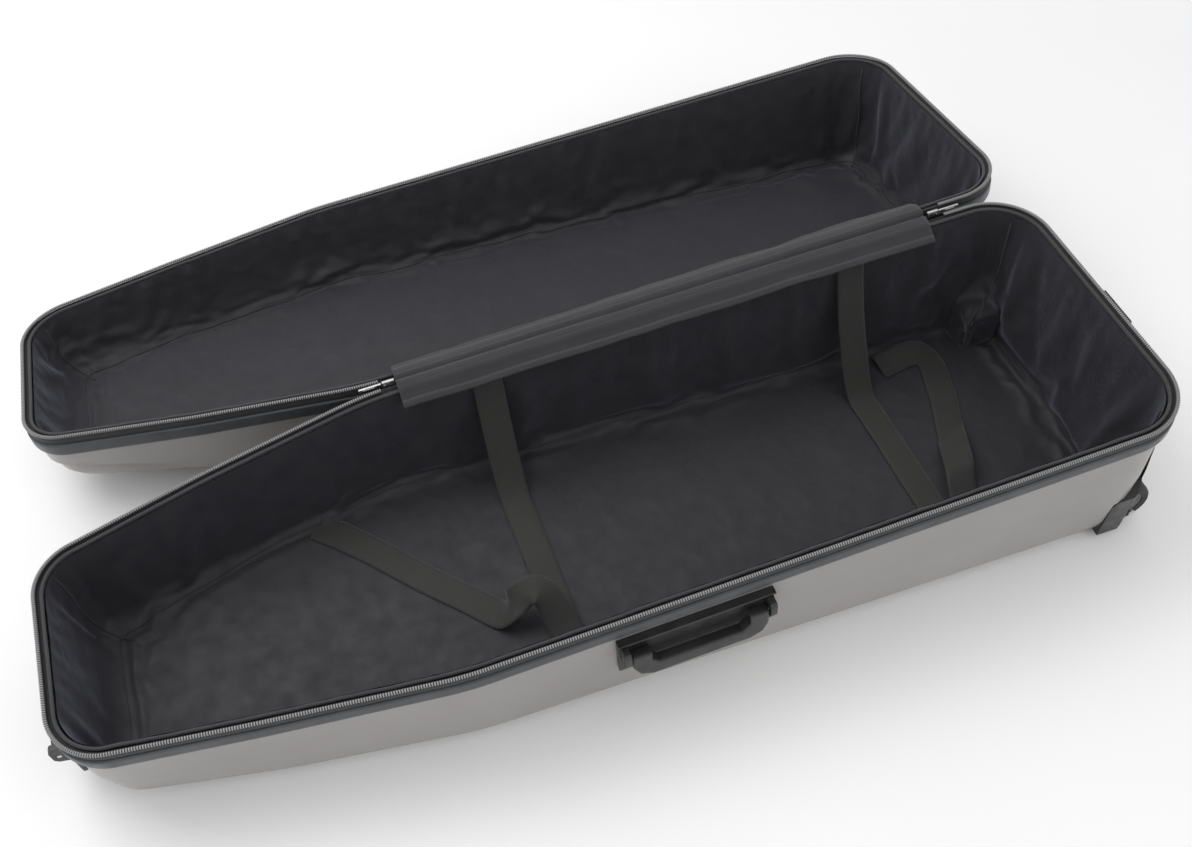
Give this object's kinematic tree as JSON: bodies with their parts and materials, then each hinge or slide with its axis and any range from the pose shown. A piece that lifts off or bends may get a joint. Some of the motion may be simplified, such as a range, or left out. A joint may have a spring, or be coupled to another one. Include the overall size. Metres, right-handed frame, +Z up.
{
  "type": "wheeled travel case",
  "caption": "Long tapered hard-shell travel case, open: deep base on wheels, shallow zip-round lid on a cloth hinge, fabric lining, hold-down straps and carry handles.",
  "frame": {"origin": "centre of the footprint on the ground, lid open", "axes": "+X along the case towards its wide, wheeled end; +Y from the base towards the open lid; +Z up"},
  "size_m": [1.3272, 0.834, 0.2387],
  "materials": {
    "shell": "satin warm grey moulded shell",
    "lip_band": "satin blue-grey rim moulding",
    "zip_tape": "woven zip tape",
    "zip_coil": "nylon coil teeth",
    "lining": "loose woven nylon lining",
    "piping": "piped binding",
    "hinge_cloth": "heavier woven cloth, hemmed",
    "bright_steel": "plated steel",
    "zip_metal": "plated zinc",
    "tyre": "solid rubber",
    "wheel_hub": "moulded hub",
    "foot_rubber": "rubber foot",
    "webbing": "ribbed webbing",
    "black_plastic": "moulded black plastic, fine grain"
  },
  "bodies": {
    "base": {"base_shell": "shell", "base_lining": "lining", "base_lip_band": "lip_band", "base_zip_tape": "zip_tape", "base_zip_coil": "zip_coil", "base_piping": "piping", "base_hinge_band": "hinge_cloth", "side_handle_tray": "black_plastic", "side_handle_ear_left": "black_plastic", "side_handle_pin_left": "bright_steel", "side_handle_ear_right": "black_plastic", "side_handle_pin_right": "bright_steel", "end_handle_tray": "black_plastic", "end_handle_ear_left": "black_plastic", "end_handle_pin_left": "bright_steel", "end_handle_ear_right": "black_plastic", "end_handle_pin_right": "bright_steel", "end_rim_plate": "black_plastic", "front_wheel_housing": "black_plastic", "front_wheel_axle": "bright_steel", "rear_wheel_housing": "black_plastic", "rear_wheel_axle": "bright_steel", "foot_front": "foot_rubber", "foot_rear": "foot_rubber", "left_strap": "webbing", "left_ring_tab": "webbing", "right_strap": "webbing", "right_ring_tab": "webbing"},
    "lid": {"lid_shell": "shell", "lid_lining": "lining", "lid_lip_band": "lip_band", "lid_zip_tape": "zip_tape", "lid_zip_coil": "zip_coil", "lid_piping": "piping", "lid_hinge_flap": "hinge_cloth"},
    "side_grip": {"side_handle_grip": "black_plastic"},
    "end_grip": {"end_handle_grip": "black_plastic"},
    "front_wheel": {"front_wheel_tyre": "tyre", "front_wheel_hub": "wheel_hub"},
    "rear_wheel": {"rear_wheel_tyre": "tyre", "rear_wheel_hub": "wheel_hub"},
    "wide_slider": {"wide_zip_slider": "zip_metal"},
    "wide_pull": {"wide_zip_pull": "zip_metal"},
    "narrow_slider": {"narrow_zip_slider": "zip_metal"},
    "narrow_pull": {"narrow_zip_pull": "zip_metal"},
    "left_strap_end": {"left_ring": "bright_steel", "left_tail_fold": "webbing", "left_tail": "webbing"},
    "right_strap_end": {"right_ring": "bright_steel", "right_tail_fold": "webbing", "right_tail": "webbing"}
  },
  "joints": [
    {"name": "lid_hinge", "type": "hinge", "parent": "base", "child": "lid", "pos_m": [0.15523, 0.01143, 0.20964], "axis": [0.9978, 0, 0.0659], "range_deg": [0, 188]},
    {"name": "side_grip_swing", "type": "hinge", "parent": "base", "child": "side_grip", "pos_m": [0.02664, -0.40747, 0.1343], "axis": [-0.9981, 0, -0.0619], "range_deg": [0, 80]},
    {"name": "end_grip_swing", "type": "hinge", "parent": "base", "child": "end_grip", "pos_m": [-0.65495, -0.21357, 0.09204], "axis": [0, 1, 0], "range_deg": [0, 80]},
    {"name": "front_wheel_spin", "type": "hinge", "parent": "base", "child": "front_wheel", "pos_m": [0.63055, -0.36457, 0.033], "axis": [0, 1, 0], "continuous": true},
    {"name": "rear_wheel_spin", "type": "hinge", "parent": "base", "child": "rear_wheel", "pos_m": [0.63055, -0.02857, 0.033], "axis": [0, 1, 0], "continuous": true},
    {"name": "wide_slider_run", "type": "slide", "parent": "base", "child": "wide_slider", "axis": [0.9981, 0, 0.0619], "range_m": [0, 0.045]},
    {"name": "wide_pull_flip", "type": "hinge", "parent": "wide_slider", "child": "wide_pull", "pos_m": [0.53142, 0.01003, 0.23113], "axis": [0, -1, 0], "range_deg": [0, 90]},
    {"name": "narrow_slider_run", "type": "slide", "parent": "base", "child": "narrow_slider", "axis": [-0.9981, 0, -0.0619], "range_m": [0, 0.012]},
    {"name": "narrow_pull_flip", "type": "hinge", "parent": "narrow_slider", "child": "narrow_pull", "pos_m": [-0.22074, 0.01003, 0.18449], "axis": [0, 1, 0], "range_deg": [0, 90]},
    {"name": "left_strap_lift", "type": "hinge", "parent": "base", "child": "left_strap_end", "pos_m": [-0.09045, -0.33557, 0.02], "axis": [1, 0, 0], "range_deg": [0, 60]},
    {"name": "right_strap_lift", "type": "hinge", "parent": "base", "child": "right_strap_end", "pos_m": [0.44755, -0.31757, 0.02], "axis": [1, 0, 0], "range_deg": [0, 60]}
  ]
}
